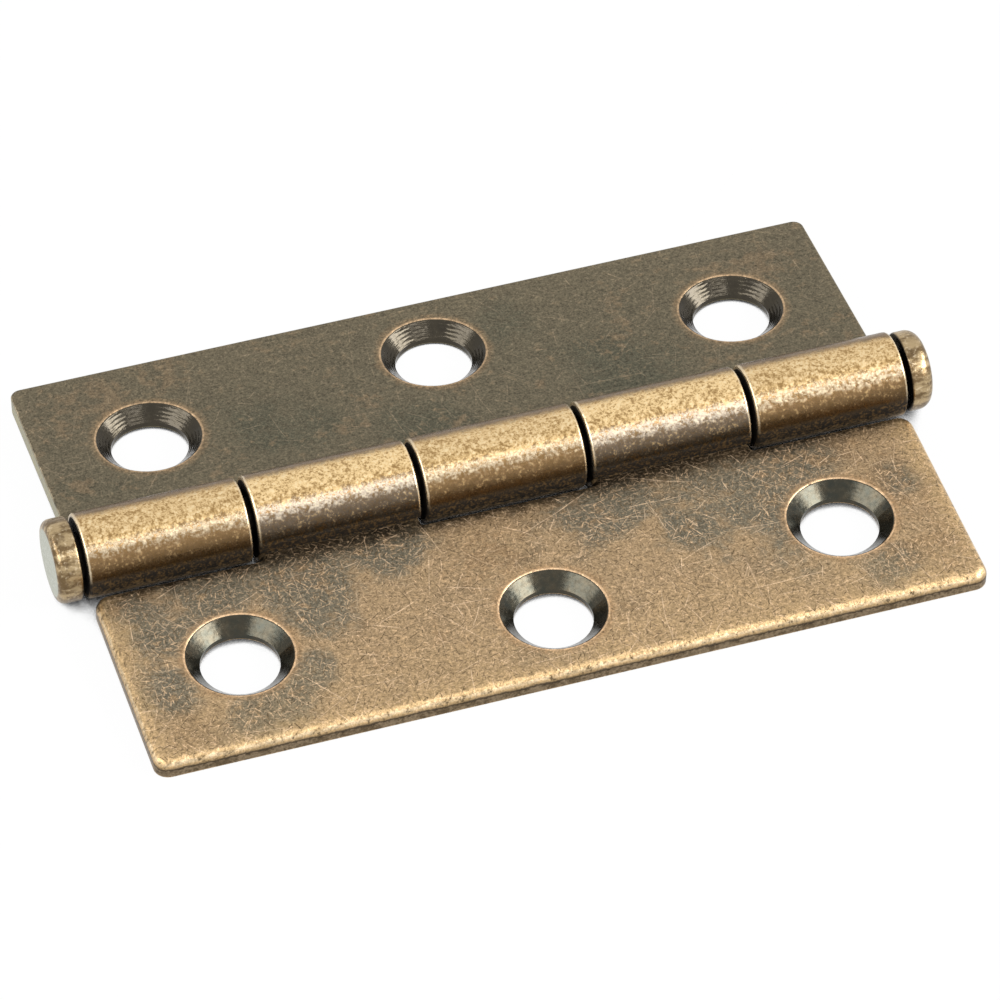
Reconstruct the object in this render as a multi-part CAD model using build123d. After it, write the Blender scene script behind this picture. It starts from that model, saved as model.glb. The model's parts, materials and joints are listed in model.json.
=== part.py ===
from build123d import *
import math
import os

# Butt hinge lying open with its barrel up. Millimetres.
# X runs along the pin, +Y toward the rear leaf, +Z up. Z = 0 is the table that the hinge lies on.

# Leaves
LEAF_LENGTH = 76.2        # along the pin
LEAF_REACH = 25.1         # pin axis to the free edge of a leaf, along the leaf
SHEET = 1.8               # sheet thickness
FACE_DROP = 0.87          # countersunk face below the pin axis
FRONT_CORNER = 1.35       # plan radius at the front leaf's free corners
REAR_CORNER = 1.0         # plan radius at the rear leaf's free corners
INNER_CORNER = 1.4        # plan radius at the two front leaf corners beside the barrel
FRONT_ROLLOVER = 1.0      # upper edges of the front leaf, rolled over in stamping
REAR_ROLLOVER = 0.25      # upper edges of the rear leaf, nearly sharp

# Barrel
BARREL_R = 3.87           # outside radius of the rolled knuckles
SWAGE_R = 6.2             # middle radius of the reverse bend between leaf and knuckle
KNUCKLE_PITCH = 15.48     # from one gap to the next
BARREL_SHIFT = 0.27       # middle of the four gaps from the middle of the leaves
KNUCKLE_GAP = 0.62        # between neighbouring knuckles
NOTCH_CLEAR = 0.2         # leaf notch edge from the knuckle that turns in it
NOTCH_CORNER = 0.18       # plan radius in the notch corners, under NOTCH_CLEAR
TIP_ANGLE = 13.4          # how far below the axis the rolled tip ends, degrees
TIP_BEVEL = 0.12          # depth of the flat on the tip
TIP_CREASE = 2.5          # where that flat starts above the axis, degrees
RIM_ROUND = 0.24          # worn outer edge at the knuckle ends

# Screw holes
HOLE_R = 3.52
SINK_R = 4.8
SINK_ANGLE = 90.0
SINK_WEAR = 0.13          # broken edge at the countersink rim
HOLE_PITCH = 27.7         # along the pin
HOLE_REACH = 14.73        # outer holes from the pin axis
MIDDLE_REACH = 17.71      # middle hole from the pin axis

# Pin
PIN_CLEAR = 0.07          # radial running clearance in the knuckles
HEAD_GAP = 0.5            # head to outer knuckle
HEAD_LENGTH = 2.25
LEFT_HEAD_R = 3.8
RIGHT_HEAD_R = 3.65
LEFT_HEAD_ROUND = 0.75
RIGHT_HEAD_ROUND = 1.15
HEAD_UNDER_ROUND = 0.3

BORE_R = BARREL_R - SHEET
PIN_R = BORE_R - PIN_CLEAR
NOTCH_REACH = BARREL_R + NOTCH_CLEAR
BACK_DROP = FACE_DROP + SHEET
GAPS = [BARREL_SHIFT + KNUCKLE_PITCH * k for k in (-1.5, -0.5, 0.5, 1.5)]

# The barrel and both free edges touch the table, so each leaf falls by this angle.
TILT = math.degrees(
    math.asin(BARREL_R / math.hypot(BACK_DROP, LEAF_REACH)) - math.atan2(BACK_DROP, LEAF_REACH)
)

# Reverse bend: its centre lies below the sheet, and it meets the roll in a shared tangent.
ROLL_MID = BARREL_R - SHEET / 2
BEND_Z = -(FACE_DROP + SHEET / 2) - SWAGE_R
BEND_Y = math.sqrt((ROLL_MID + SWAGE_R) ** 2 - BEND_Z ** 2)
MEET = math.degrees(math.atan2(BEND_Z, BEND_Y))


def on_circle(radius, degrees):
    """Point in the section plane on a circle about the pin axis."""
    a = math.radians(degrees)
    return (radius * math.cos(a), radius * math.sin(a))


def on_bend(radius, share):
    """Point of the reverse bend, from the flat sheet (0) to the roll (1)."""
    a = math.radians(90.0 + share * (90.0 + MEET))
    return (BEND_Y + radius * math.cos(a), BEND_Z + radius * math.sin(a))


def arc(a, b, c, side):
    """Arc through three section points, mirrored for the front leaf."""
    return ThreePointArc(*[(side * p[0], p[1]) for p in (a, b, c)])


def straight(a, b, side):
    return Line((side * a[0], a[1]), (side * b[0], b[1]))


def section(side):
    """Rolled section of a leaf: flat sheet, reverse bend, and the roll around the pin."""
    upper = SWAGE_R + SHEET / 2
    lower = SWAGE_R - SHEET / 2
    tip = -360.0 - TIP_ANGLE
    crease = -360.0 + TIP_CREASE
    half_in = (MEET + tip) / 2
    half_out = (MEET + crease) / 2
    edges = [
        straight((LEAF_REACH, -FACE_DROP), on_bend(upper, 0), side),
        arc(on_bend(upper, 0), on_bend(upper, 0.5), on_circle(BORE_R, MEET), side),
        arc(on_circle(BORE_R, MEET), on_circle(BORE_R, (MEET + half_in) / 2),
            on_circle(BORE_R, half_in), side),
        arc(on_circle(BORE_R, half_in), on_circle(BORE_R, (half_in + tip) / 2),
            on_circle(BORE_R, tip), side),
        straight(on_circle(BORE_R, tip), on_circle(BARREL_R - TIP_BEVEL, tip), side),
        straight(on_circle(BARREL_R - TIP_BEVEL, tip), on_circle(BARREL_R, crease), side),
        arc(on_circle(BARREL_R, crease), on_circle(BARREL_R, (crease + half_out) / 2),
            on_circle(BARREL_R, half_out), side),
        arc(on_circle(BARREL_R, half_out), on_circle(BARREL_R, (half_out + MEET) / 2),
            on_circle(BARREL_R, MEET), side),
        arc(on_circle(BARREL_R, MEET), on_bend(lower, 0.5), on_bend(lower, 0), side),
        straight(on_bend(lower, 0), (LEAF_REACH, -BACK_DROP), side),
        straight((LEAF_REACH, -BACK_DROP), (LEAF_REACH, -FACE_DROP), side),
    ]
    return Plane.YZ * make_face(Wire(edges))


def own_knuckles(numbers):
    """X range of each knuckle in the list, numbered 0 to 4 from the left."""
    ends = [-LEAF_LENGTH / 2] + GAPS + [LEAF_LENGTH / 2]
    ranges = []
    for k in numbers:
        low = ends[k] + (KNUCKLE_GAP / 2 if k > 0 else 0)
        high = ends[k + 1] - (KNUCKLE_GAP / 2 if k < 4 else 0)
        ranges.append((low, high))
    return ranges


def block(x0, x1, y0, y1):
    """Tall block over a plan rectangle."""
    plan = Pos((x0 + x1) / 2, (y0 + y1) / 2, -10) * Rectangle(x1 - x0, abs(y1 - y0))
    return extrude(plan, 20)


def notches(side, ranges):
    """Everything to be cut away between the leaf's own knuckles."""
    far = BARREL_R + 2
    half = LEAF_LENGTH / 2
    starts = [-half - 3] + [r[1] for r in ranges]
    ends = [r[0] for r in ranges] + [half + 3]
    cutters = []
    for x0, x1 in zip(starts, ends):
        if x1 <= -half or x0 >= half:
            continue
        cutter = block(x0, x1, -side * far, side * NOTCH_REACH)
        touching = [
            e for e in cutter.edges().filter_by(Axis.Z)
            if abs(e.center().Y - side * NOTCH_REACH) < 1e-3 and abs(e.center().X) < half
        ]
        cutters.append(fillet(touching, NOTCH_CORNER))
    return cutters


def screw_hole(x, y):
    """Through hole with a countersink that opens at the upper face."""
    depth = (SINK_R - HOLE_R) / math.tan(math.radians(SINK_ANGLE / 2))
    wear = SINK_WEAR
    slope = math.radians(SINK_ANGLE / 2)
    rim = (SINK_R + wear * 0.5, 0.0)
    inner = (SINK_R - wear * math.sin(slope), -wear * math.cos(slope))
    profile = Polyline(
        (0, 1), (SINK_R + wear * 0.5, 1), rim, inner, (HOLE_R, -depth), (HOLE_R, -SHEET - 1),
        (0, -SHEET - 1), close=True,
    )
    tool = revolve(Plane.XZ * make_face(profile), Axis.Z)
    return Pos(x, y, -FACE_DROP) * tool


def rim_cutter(x, inward, side):
    """Part ring that rounds the outer edge at one knuckle end, from the tip round to the bend."""
    r = RIM_ROUND
    slack = 0.01
    low = (x - inward * slack, BARREL_R - r)
    high = (x + inward * r, BARREL_R)
    middle = (x + inward * r * (1 - math.sqrt(0.5)), BARREL_R - r * (1 - math.sqrt(0.5)))
    wire = Wire([
        ThreePointArc(low, middle, high),
        Line(high, (high[0], BARREL_R + slack)),
        Line((high[0], BARREL_R + slack), (low[0], BARREL_R + slack)),
        Line((low[0], BARREL_R + slack), low),
    ])
    profile = Rot(-TIP_ANGLE, 0, 0) * make_face(wire)
    ring = revolve(profile, Axis.X, 360 + TIP_ANGLE + MEET)
    return ring if side > 0 else mirror(ring, Plane.XZ)


def rolled_over(body, side):
    """Upper outline of the sheet: every edge of the countersunk face but the bend's own line."""
    found = []
    for edge in body.edges():
        box = edge.bounding_box()
        along_x = box.max.Y - box.min.Y < 1e-4
        reach = abs(edge.center().Y)
        on_face = max(abs(box.min.Z + FACE_DROP), abs(box.max.Z + FACE_DROP)) < 1e-4
        at_notch = along_x and abs(reach - NOTCH_REACH) < 1e-3 and box.min.Z > -FACE_DROP - SHEET / 2
        if at_notch or (on_face and not (along_x and abs(reach - BEND_Y) < 1e-3)):
            found.append(edge)
    return found


def leaf(side, numbers):
    """One leaf in its own frame: pin axis on X, countersunk face up, not yet fallen to the table."""
    half = LEAF_LENGTH / 2
    ranges = own_knuckles(numbers)
    body = extrude(section(side), LEAF_LENGTH / 2, both=True)
    body = body - notches(side, ranges)

    free = [
        e for e in body.edges().filter_by(Axis.Z)
        if abs(abs(e.center().X) - half) < 1e-3 and abs(e.center().Y - side * LEAF_REACH) < 1e-3
    ]
    body = fillet(free, FRONT_CORNER if side < 0 else REAR_CORNER)
    beside = [
        e for e in body.edges()
        if abs(abs(e.center().X) - half) < 1e-3 and abs(e.center().Y - side * NOTCH_REACH) < 1e-3
        and e.length < 2.5
    ]
    if beside:
        body = fillet(beside, INNER_CORNER)
    body = fillet(rolled_over(body, side), FRONT_ROLLOVER if side < 0 else REAR_ROLLOVER)
    for low, high in ranges:
        body = body - [rim_cutter(low, 1, side), rim_cutter(high, -1, side)]

    for x in (-HOLE_PITCH, 0.0, HOLE_PITCH):
        reach = MIDDLE_REACH if x == 0.0 else HOLE_REACH
        body = body - screw_hole(x, side * reach)
    return body


def fallen(body, side):
    """Lay a leaf on the table: free edge down by TILT, pin axis at the barrel radius."""
    return Pos(0, 0, BARREL_R) * (Rot(-side * TILT, 0, 0) * body)


def pin():
    """Plain shaft with an upset head at each end."""
    inner = LEAF_LENGTH / 2 + HEAD_GAP
    shaft = Rot(0, 90, 0) * Cylinder(PIN_R, 2 * inner + 0.4)
    body = shaft
    heads = ((-1, LEFT_HEAD_R, LEFT_HEAD_ROUND), (1, RIGHT_HEAD_R, RIGHT_HEAD_ROUND))
    for end, radius, rounding in heads:
        head = Rot(0, 90, 0) * Cylinder(radius, HEAD_LENGTH)
        head = Pos(end * (inner + HEAD_LENGTH / 2), 0, 0) * head
        rims = head.edges().filter_by(GeomType.CIRCLE).sort_by(Axis.X)
        outer, under = (rims[-1], rims[0]) if end > 0 else (rims[0], rims[-1])
        head = fillet([outer], rounding)
        rims = head.edges().filter_by(GeomType.CIRCLE).sort_by(Axis.X)
        under = rims[0] if end > 0 else rims[-1]
        head = fillet([under], HEAD_UNDER_ROUND)
        body = body + head
    return Pos(0, 0, BARREL_R) * body


if __name__ == "__main__":
    os.makedirs("parts", exist_ok=True)
    rear_leaf = fallen(leaf(1, (0, 2, 4)), 1)
    front_leaf = fallen(leaf(-1, (1, 3)), -1)
    hinge_pin = pin()
    export_step(rear_leaf, "parts/rear_leaf.step")
    export_step(front_leaf, "parts/front_leaf.step")
    export_step(hinge_pin, "parts/hinge_pin.step")
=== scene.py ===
"""Looks of the butt hinge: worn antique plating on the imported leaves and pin, and the studio around them."""

from __future__ import annotations

import json
import logging
import math
from collections.abc import Mapping, Sequence
from dataclasses import dataclass, field
from enum import Enum
from functools import reduce
from typing import Any, ClassVar, Union

import bpy
from mathutils import Matrix, Vector

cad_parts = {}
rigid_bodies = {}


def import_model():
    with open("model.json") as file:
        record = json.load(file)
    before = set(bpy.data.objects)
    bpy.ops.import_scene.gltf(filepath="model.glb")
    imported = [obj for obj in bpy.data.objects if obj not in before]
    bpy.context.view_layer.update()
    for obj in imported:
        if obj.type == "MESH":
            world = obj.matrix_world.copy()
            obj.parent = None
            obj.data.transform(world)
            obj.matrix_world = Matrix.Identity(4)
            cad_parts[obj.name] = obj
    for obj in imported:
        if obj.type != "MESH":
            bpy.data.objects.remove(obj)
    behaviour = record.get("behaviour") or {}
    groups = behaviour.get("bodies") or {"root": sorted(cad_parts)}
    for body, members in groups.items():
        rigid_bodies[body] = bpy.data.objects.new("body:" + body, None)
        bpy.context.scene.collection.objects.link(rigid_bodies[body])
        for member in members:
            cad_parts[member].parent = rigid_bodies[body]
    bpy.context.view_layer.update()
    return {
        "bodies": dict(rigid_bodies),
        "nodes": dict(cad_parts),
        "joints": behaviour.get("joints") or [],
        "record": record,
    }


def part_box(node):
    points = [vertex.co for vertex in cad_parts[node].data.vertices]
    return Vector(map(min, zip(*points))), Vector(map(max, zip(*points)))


LOG = logging.getLogger("butt_hinge")

# Millimetres in a metre, and degrees in half a turn.
MM = 1000.0
HALF_TURN = 180.0

WHITE = (1.0, 1.0, 1.0)
BLACK = (0.0, 0.0, 0.0)

Rgb = tuple[float, float, float]
Span = tuple[float, float]
Spot = tuple[float, float, float]
Number = Union[int, float]


class Side(Enum):
    """Which way a leaf reaches from the pin axis, as a sign along Y."""

    REAR = 1
    FRONT = -1


class Value:
    """One socket of a node tree, so that shader maths reads as Python expressions."""

    def __init__(self, graph: "Graph", socket: bpy.types.NodeSocket) -> None:
        """Wrap a socket.

        Args:
            graph: The node tree that the socket belongs to.
            socket: The output socket.
        """
        self.graph = graph
        self.socket = socket

    def __add__(self, other: "Term") -> "Value":
        """Sum."""
        return self.graph.math("ADD", self, other)

    def __radd__(self, other: Number) -> "Value":
        """Sum with a number on the left."""
        return self.graph.math("ADD", other, self)

    def __sub__(self, other: "Term") -> "Value":
        """Difference."""
        return self.graph.math("SUBTRACT", self, other)

    def __rsub__(self, other: Number) -> "Value":
        """Difference with a number on the left."""
        return self.graph.math("SUBTRACT", other, self)

    def __mul__(self, other: "Term") -> "Value":
        """Product."""
        return self.graph.math("MULTIPLY", self, other)

    def __rmul__(self, other: Number) -> "Value":
        """Product with a number on the left."""
        return self.graph.math("MULTIPLY", other, self)

    def __neg__(self) -> "Value":
        """Negative."""
        return self.graph.math("MULTIPLY", self, -1.0)

    def __abs__(self) -> "Value":
        """Absolute value."""
        return self.graph.math("ABSOLUTE", self)

    def at_least(self, other: "Term") -> "Value":
        """The larger of the two."""
        return self.graph.math("MAXIMUM", self, other)

    def at_most(self, other: "Term") -> "Value":
        """The smaller of the two."""
        return self.graph.math("MINIMUM", self, other)

    def ramp(self, start: float, end: float) -> "Value":
        """Smooth step from 0 at start to 1 at end, which may be below start.

        Args:
            start: Where the step is still 0.
            end: Where it reaches 1.

        Returns:
            A value from 0 to 1.
        """
        if end > start:
            return self._step(start, end)
        return 1.0 - self._step(end, start)

    def _step(self, low: float, high: float) -> "Value":
        """Smooth step upward between two values."""
        node = self.graph.node(
            "ShaderNodeMapRange",
            {"interpolation_type": "SMOOTHSTEP"},
            {"Value": self, "From Min": low, "From Max": high},
        )
        return self.graph.out(node, "Result")

    def wave(self) -> "Value":
        """Sine of the value in radians."""
        return self.graph.math("SINE", self)

    def whole_distance(self) -> "Value":
        """Distance to the nearest whole number."""
        return self.graph.math("PINGPONG", self, 0.5)


Term = Union[Value, int, float]


class Graph:
    """The node tree of one material or of the world.

    Attributes:
        SPOT_FADE: Shares of a soft spot's radius at which it is still 0 and already 1.
        NOISE_SPAN: The part of the noise node's range that is stretched to 0 to 1.
        SHIFT_WAY: Direction in which a noise is moved to give another one.
    """

    SPOT_FADE: ClassVar[Span] = (1.35, 0.25)
    NOISE_SPAN: ClassVar[Span] = (0.3, 0.7)
    SHIFT_WAY: ClassVar[Rgb] = (1.0, 0.7, -0.4)

    def __init__(self, tree: bpy.types.NodeTree) -> None:
        """Start with an empty tree.

        Args:
            tree: The tree to clear and fill.
        """
        self.tree = tree
        tree.nodes.clear()

    def node(
        self,
        kind: str,
        settings: Mapping[str, Any] | None = None,
        inputs: Mapping[str | int, Any] | None = None,
    ) -> bpy.types.Node:
        """Add one node.

        Args:
            kind: The node's type name.
            settings: Its properties, set before the sockets.
            inputs: Socket names, identifiers or numbers, with a constant or a Value to link.

        Returns:
            The new node.
        """
        node = self.tree.nodes.new(kind)
        for name, setting in (settings or {}).items():
            setattr(node, name, setting)
        for name, source in (inputs or {}).items():
            socket = self._socket(node.inputs, name)
            if isinstance(source, Value):
                self.tree.links.new(source.socket, socket)
            elif isinstance(source, bpy.types.NodeSocket):
                self.tree.links.new(source, socket)
            elif isinstance(source, (tuple, list)) and socket.type == "RGBA":
                socket.default_value = (*source, 1.0)
            else:
                socket.default_value = source
        return node

    @staticmethod
    def _socket(sockets: Any, name: str | int) -> bpy.types.NodeSocket:
        """Find a socket by its number, identifier or name."""
        if isinstance(name, int):
            return sockets[name]
        for socket in sockets:
            if socket.identifier == name:
                return socket
        return sockets[name]

    def out(self, node: bpy.types.Node, name: str | int = 0) -> Value:
        """One output of a node as a Value."""
        return Value(self, self._socket(node.outputs, name))

    def math(self, operation: str, *terms: Term) -> Value:
        """One Math node.

        Args:
            operation: The node's operation.
            terms: Its values or links, in order.

        Returns:
            The result.
        """
        inputs: dict[str | int, Any] = dict(enumerate(terms))
        return self.out(self.node("ShaderNodeMath", {"operation": operation}, inputs))

    def blend(self, share: Term, first: Any, second: Any, mode: str = "MIX") -> Value:
        """Mix two colours.

        Args:
            share: 0 for the first colour, 1 for the second.
            first: A colour or a link.
            second: A colour or a link.
            mode: The blend type.

        Returns:
            The mixed colour.
        """
        node = self.node(
            "ShaderNodeMix",
            {"data_type": "RGBA", "blend_type": mode, "clamp_factor": True},
            {"Factor_Float": share, "A_Color": first, "B_Color": second},
        )
        return self.out(node, "Result_Color")

    def scaled(self, vector: Value, factor: float | Rgb) -> Value:
        """A vector times a number or, part by part, times three numbers."""
        if isinstance(factor, tuple):
            node = self.node("ShaderNodeVectorMath", {"operation": "MULTIPLY"}, {0: vector, 1: factor})
        else:
            node = self.node("ShaderNodeVectorMath", {"operation": "SCALE"}, {0: vector, "Scale": factor})
        return self.out(node, 0)

    def moved(self, vector: Value, offset: Any) -> Value:
        """A vector plus another."""
        node = self.node("ShaderNodeVectorMath", {"operation": "ADD"}, {0: vector, 1: offset})
        return self.out(node, 0)

    def joined(self, x: Term, y: Term, z: Term) -> Value:
        """A vector from three values."""
        return self.out(self.node("ShaderNodeCombineXYZ", None, {0: x, 1: y, 2: z}))

    def parts(self, vector: Value) -> tuple[Value, Value, Value]:
        """The three values of a vector."""
        node = self.node("ShaderNodeSeparateXYZ", None, {0: vector})
        return self.out(node, 0), self.out(node, 1), self.out(node, 2)

    def position(self) -> Value:
        """Place on the object at rest, in millimetres."""
        coordinates = self.node("ShaderNodeTexCoord")
        return self.scaled(self.out(coordinates, "Object"), MM)

    def spots(self, place: Value, spots: Sequence[Spot]) -> Value:
        """Soft round spots in a plane.

        Args:
            place: Where in the plane, in millimetres.
            spots: Each spot's two coordinates and its radius, at least one spot.

        Returns:
            1 at the middle of a spot, 0 away from all of them.
        """
        outer, core = self.SPOT_FADE
        masks = []
        for x, y, radius in spots:
            node = self.node("ShaderNodeVectorMath", {"operation": "DISTANCE"}, {0: place, 1: (x, y, 0.0)})
            masks.append(self.out(node, "Value").ramp(radius * outer, radius * core))
        return reduce(Value.at_least, masks)

    def noise(
        self, vector: Value, size: float, detail: float, roughness: float, shift: float = 0.0
    ) -> Value:
        """Soft noise from about 0 to 1.

        Args:
            vector: Place in millimetres.
            size: Size of a blotch in millimetres.
            detail: Finer layers.
            roughness: How much the finer layers weigh.
            shift: Moves the pattern, so that two noises differ.

        Returns:
            The noise value.
        """
        place = self.moved(vector, tuple(shift * part for part in self.SHIFT_WAY)) if shift else vector
        node = self.node(
            "ShaderNodeTexNoise",
            {"noise_dimensions": "3D"},
            {"Vector": place, "Scale": 1.0 / size, "Detail": detail, "Roughness": roughness},
        )
        low, high = self.NOISE_SPAN
        stretched = self.node(
            "ShaderNodeMapRange", None, {"Value": self.out(node, 0), "From Min": low, "From Max": high}
        )
        return self.out(stretched, "Result")


@dataclass(frozen=True)
class ScratchLayer:
    """Straight fine scratches, at most one to a cell, each in a direction of its own.

    Attributes:
        cell: Size of a cell in millimetres.
        width: Half width of a scratch in millimetres.
        reach: Half length of a scratch as a share of the cell.
        kept: Share of the cells that carry one.
        shift: Moves the layer, so that two layers differ.
        SIDE_CORE: Share of the half width over which a scratch is full.
        END_CORE: Share of the half length over which it is full.
        FAINTEST: Strength of the faintest scratch.
        LUCK_STEP: Width of the step between cells with and without one.
        SLANT: How far a layer moves across for each unit along.
    """

    cell: float
    width: float
    reach: float
    kept: float
    shift: float
    SIDE_CORE: ClassVar[float] = 0.25
    END_CORE: ClassVar[float] = 0.55
    FAINTEST: ClassVar[float] = 0.35
    LUCK_STEP: ClassVar[float] = 0.02
    SLANT: ClassVar[float] = -0.6

    def mask(self, graph: Graph, plane: Value, bend: Value) -> Value:
        """Where the scratches run.

        Args:
            graph: The tree to build in.
            plane: Place in the leaf's plane in millimetres.
            bend: A slow noise vector that keeps the lines from being dead straight.

        Returns:
            1 on a scratch, fading to 0 beside it.
        """
        moved = graph.moved(graph.moved(plane, bend), (self.shift, self.shift * self.SLANT, 0.0))
        flat = graph.scaled(moved, (1.0 / self.cell, 1.0 / self.cell, 0.0))
        cells = graph.node(
            "ShaderNodeTexVoronoi",
            {"voronoi_dimensions": "2D", "feature": "F1"},
            {"Vector": flat, "Scale": 1.0, "Randomness": 1.0},
        )
        centre = graph.scaled(graph.out(cells, "Position"), -1.0)
        from_centre = graph.moved(flat, centre)
        dx, dy, _ = graph.parts(from_centre)
        turn, luck, strength = graph.parts(graph.out(cells, "Color"))
        angle = turn * math.pi
        cosine, sine = graph.math("COSINE", angle), graph.math("SINE", angle)
        along = abs(dx * cosine + dy * sine)
        aside = abs(dy * cosine - dx * sine)
        width = self.width / self.cell
        line = aside.ramp(width, width * self.SIDE_CORE) * along.ramp(self.reach, self.reach * self.END_CORE)
        bare = 1.0 - self.kept
        drawn = luck.ramp(bare - self.LUCK_STEP, bare)
        return line * drawn * (self.FAINTEST + (1.0 - self.FAINTEST) * strength)


@dataclass(frozen=True)
class PatinaTones:
    """Colours of the aged plating that both leaves and the pin share.

    Attributes:
        deep_shade: Near black: painted shade in the knuckle gaps, on the pin within them and in the deepest
            creases.
        crease: Painted shade on the face beside the barrel and on the notch wall, and the dark line of the
            seams.
        wall: Plated parts of the cut edge.
        bright: Rubbed crests and knuckle rims; on the rolled-over edge partly a painted highlight.
        bare: Bare metal on the cut edge.
        rim: The thin line round a countersink: worn, and partly a painted glint on its rim.
        halo: The copper tone outside that line.
    """

    deep_shade: Rgb = (0.012, 0.009, 0.006)
    crease: Rgb = (0.050, 0.036, 0.022)
    wall: Rgb = (0.210, 0.155, 0.095)
    bright: Rgb = (0.880, 0.740, 0.520)
    bare: Rgb = (0.335, 0.310, 0.190)
    rim: Rgb = (0.760, 0.520, 0.310)
    halo: Rgb = (0.430, 0.265, 0.135)


@dataclass(frozen=True)
class FaceTones:
    """Colours of one leaf's flat face.

    Attributes:
        ground: The face away from the patches.
        patch: The larger patches.
        stain: Smaller warm stains.
        rubbed: Along the free edges.
        light: Short light strokes and light grain.
        hairline: Long hairline scratches.
        dark: Dark strokes and specks.
        sink: Inside the countersinks, dark as painted shade of the recess.
    """

    ground: Rgb
    patch: Rgb
    stain: Rgb
    rubbed: Rgb
    light: Rgb
    hairline: Rgb
    dark: Rgb
    sink: Rgb


@dataclass(frozen=True)
class BarrelTones:
    """Colours around one leaf's knuckles, from the crease at the front over the top to the back.

    Attributes:
        low: Just above the crease, dark as painted shade.
        middle: The lower half of the front, darker toward the crease as painted shade.
        highlight_band: The pale band above it: a painted highlight.
        top: The top, rubbed and partly painted light.
        dip: The darker line between the painted highlight and the top, painted shade, and flecks lower down.
        back: Behind the top, dark as painted shade.
        under: The underside, and mottling behind the top.
        spots: Dark specks in the rubbed bands.
        dust: Light specks there.
        speckled: How strongly the dark specks show.
    """

    low: Rgb
    middle: Rgb
    highlight_band: Rgb
    top: Rgb
    dip: Rgb = (0.640, 0.440, 0.205)
    back: Rgb = (0.150, 0.090, 0.040)
    under: Rgb = (0.260, 0.180, 0.095)
    spots: Rgb = (0.290, 0.165, 0.055)
    dust: Rgb = (0.880, 0.740, 0.480)
    speckled: float = 0.85


@dataclass(frozen=True)
class BarrelBands:
    """Where each colour of the knuckles sets in and is full.

    The first seven are degrees from the barrel's front over its top, the next three are half turns in the same
    direction, and the others are values of the speckle noise.
    """

    low: Span = (-2.0, 16.0)
    under: Span = (-16.0, -36.0)
    middle: Span = (12.0, 35.0)
    highlight_band: Span = (33.0, 45.0)
    dip: Span = (51.0, 60.0)
    top: Span = (60.0, 72.0)
    back: Span = (96.0, 113.0)
    flecked: Span = (0.03, 0.14)
    rubbed: Span = (0.17, 0.27)
    worn_ends: Span = (-0.02, 0.12)
    flecks: Span = (0.56, 0.85)
    specks: Span = (0.60, 0.22)
    dust: Span = (0.54, 0.78)
    mottling: Span = (0.35, 0.75)


@dataclass(frozen=True)
class WearSpans:
    """Where each kind of wear on a leaf sets in and is full.

    Attributes:
        barrel_side: Distance from the pin axis at which the patches thicken, in millimetres.
        patch: Edge of the patches, in noise.
        stain: Edge of the stains, in noise.
        barrel_shade: Painted shade on the face beside the barrel, in millimetres from the pin axis.
        toward_edge: Slow lightening toward the free edge, in millimetres from it.
        peaks: Noise that counts as a peak of the grain.
        hollows: Noise that counts as a hollow of the grain.
        halo: Copper tone round a countersink, in millimetres past its rim.
        rim_line: Thin line, worn and partly a painted glint, in millimetres from its middle.
        flank: Upper part of the rolled-over edge, as a share of its height, as the next five are.
        foot: Where the rubbing on it ends.
        crest_wear_and_glint: Bright line, rubbed and partly a painted highlight, from its middle.
        wall: Where the cut wall begins.
        seam: Dark line, from its middle.
        pits: Noise that counts as a pit.
        plate: Noise over which plate covers the wall.
        notch_out: Painted shade on the notch wall beside the barrel, in millimetres from the pin axis.
        notch_depth: The same, in millimetres below the face.
        worn_end: Bright rim of a knuckle, in millimetres from its end.
    """

    barrel_side: Span = (16.0, 4.0)
    patch: Span = (0.96, 1.26)
    stain: Span = (0.55, 0.85)
    barrel_shade: Span = (6.6, 4.4)
    toward_edge: Span = (9.0, 1.0)
    peaks: Span = (0.55, 1.0)
    hollows: Span = (0.45, 0.0)
    halo: Span = (0.95, 0.05)
    rim_line: Span = (0.16, 0.05)
    flank: Span = (0.02, 0.30)
    foot: Span = (1.6, 1.2)
    crest_wear_and_glint: Span = (0.22, 0.04)
    wall: Span = (0.66, 1.00)
    seam: Span = (0.16, 0.03)
    pits: Span = (0.30, 0.18)
    plate: Span = (0.30, 0.65)
    notch_out: Span = (5.6, 4.9)
    notch_depth: Span = (0.05, 0.45)
    worn_end: Span = (0.26, 0.10)


@dataclass(frozen=True)
class HingePlan:
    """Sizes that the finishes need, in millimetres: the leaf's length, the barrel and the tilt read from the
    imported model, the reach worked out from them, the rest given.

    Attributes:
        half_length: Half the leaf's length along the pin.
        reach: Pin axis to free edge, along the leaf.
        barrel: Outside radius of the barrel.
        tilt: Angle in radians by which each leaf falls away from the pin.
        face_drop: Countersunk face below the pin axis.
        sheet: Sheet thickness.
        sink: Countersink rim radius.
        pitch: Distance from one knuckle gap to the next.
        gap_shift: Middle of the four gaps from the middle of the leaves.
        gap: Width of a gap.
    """

    half_length: float
    reach: float
    barrel: float
    tilt: float
    face_drop: float = 0.87
    sheet: float = 1.8
    sink: float = 4.8
    pitch: float = 15.48
    gap_shift: float = 0.27
    gap: float = 0.62

    @property
    def back(self) -> float:
        """The leaf's underside below the pin axis."""
        return self.face_drop + self.sheet

    @classmethod
    def from_frame(cls, record: Mapping[str, Any]) -> "HingePlan":
        """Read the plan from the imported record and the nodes' boxes.

        Args:
            record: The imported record.

        Returns:
            The plan of this hinge.
        """
        _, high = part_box("rear_leaf")
        axis = next(m["axis"] for m in record["mounts"] if m["name"] == "rear_middle_screw_hole")
        tilt = math.atan2(axis[1], axis[2])
        barrel = record["behaviour"]["joints"][0]["pos_m"][2] * MM
        back = cls.face_drop + cls.sheet
        reach = (barrel - back * math.cos(tilt)) / math.sin(tilt)
        return cls(half_length=high.x * MM, reach=reach, barrel=barrel, tilt=tilt)


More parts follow.
